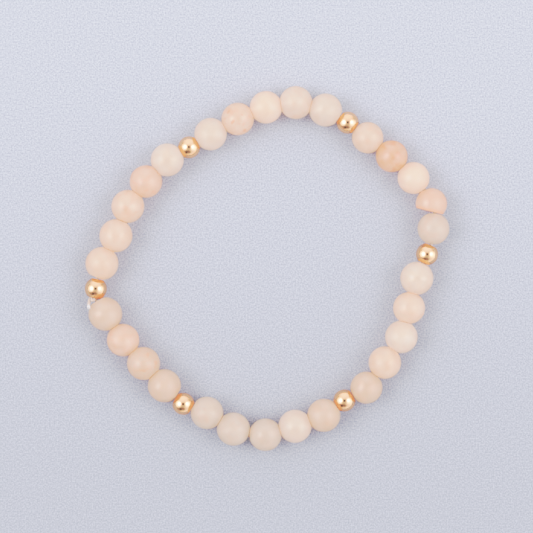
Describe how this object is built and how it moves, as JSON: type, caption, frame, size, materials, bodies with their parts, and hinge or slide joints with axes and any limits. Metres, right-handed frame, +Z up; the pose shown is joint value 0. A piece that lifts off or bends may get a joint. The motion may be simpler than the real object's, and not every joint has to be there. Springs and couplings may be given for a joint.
{
  "type": "beaded stretch bracelet",
  "caption": "Round elastic bracelet of small drilled stone balls with smaller gold balls spaced between them, worn round a wrist.",
  "frame": {"origin": "middle of the loop's outline, on the surface that the beads lie on", "axes": "+Z up, square to the flat-lying loop; +Y towards stone_03, and +X to its right seen from above"},
  "size_m": [0.066, 0.0662, 0.0061],
  "materials": {
    "cream_stone": "polished, translucent",
    "blush_stone": "polished, translucent",
    "peach_stone": "polished, translucent",
    "apricot_stone": "polished, mottled",
    "sand_stone": "polished, translucent",
    "polished_gold": "mirror-polished gold over brass",
    "clear_elastic": "clear, glossy"
  },
  "bodies": {
    "root": {"gold_01": "polished_gold", "stone_01": "cream_stone", "stone_02": "blush_stone", "stone_03": "blush_stone", "stone_04": "cream_stone", "stone_05": "cream_stone", "gold_02": "polished_gold", "stone_06": "blush_stone", "stone_07": "apricot_stone", "stone_08": "blush_stone", "stone_09": "peach_stone", "stone_10": "cream_stone", "gold_03": "polished_gold", "stone_11": "cream_stone", "stone_12": "blush_stone", "stone_13": "cream_stone", "stone_14": "blush_stone", "stone_15": "sand_stone", "gold_04": "polished_gold", "stone_16": "sand_stone", "stone_17": "cream_stone", "stone_18": "cream_stone", "stone_19": "cream_stone", "stone_20": "cream_stone", "gold_05": "polished_gold", "stone_21": "sand_stone", "stone_22": "sand_stone", "stone_23": "peach_stone", "stone_24": "sand_stone", "gold_06": "polished_gold", "stone_25": "blush_stone", "stone_26": "blush_stone", "stone_27": "blush_stone", "stone_28": "peach_stone", "stone_29": "cream_stone", "elastic_cord": "clear_elastic"}
  },
  "joints": []
}
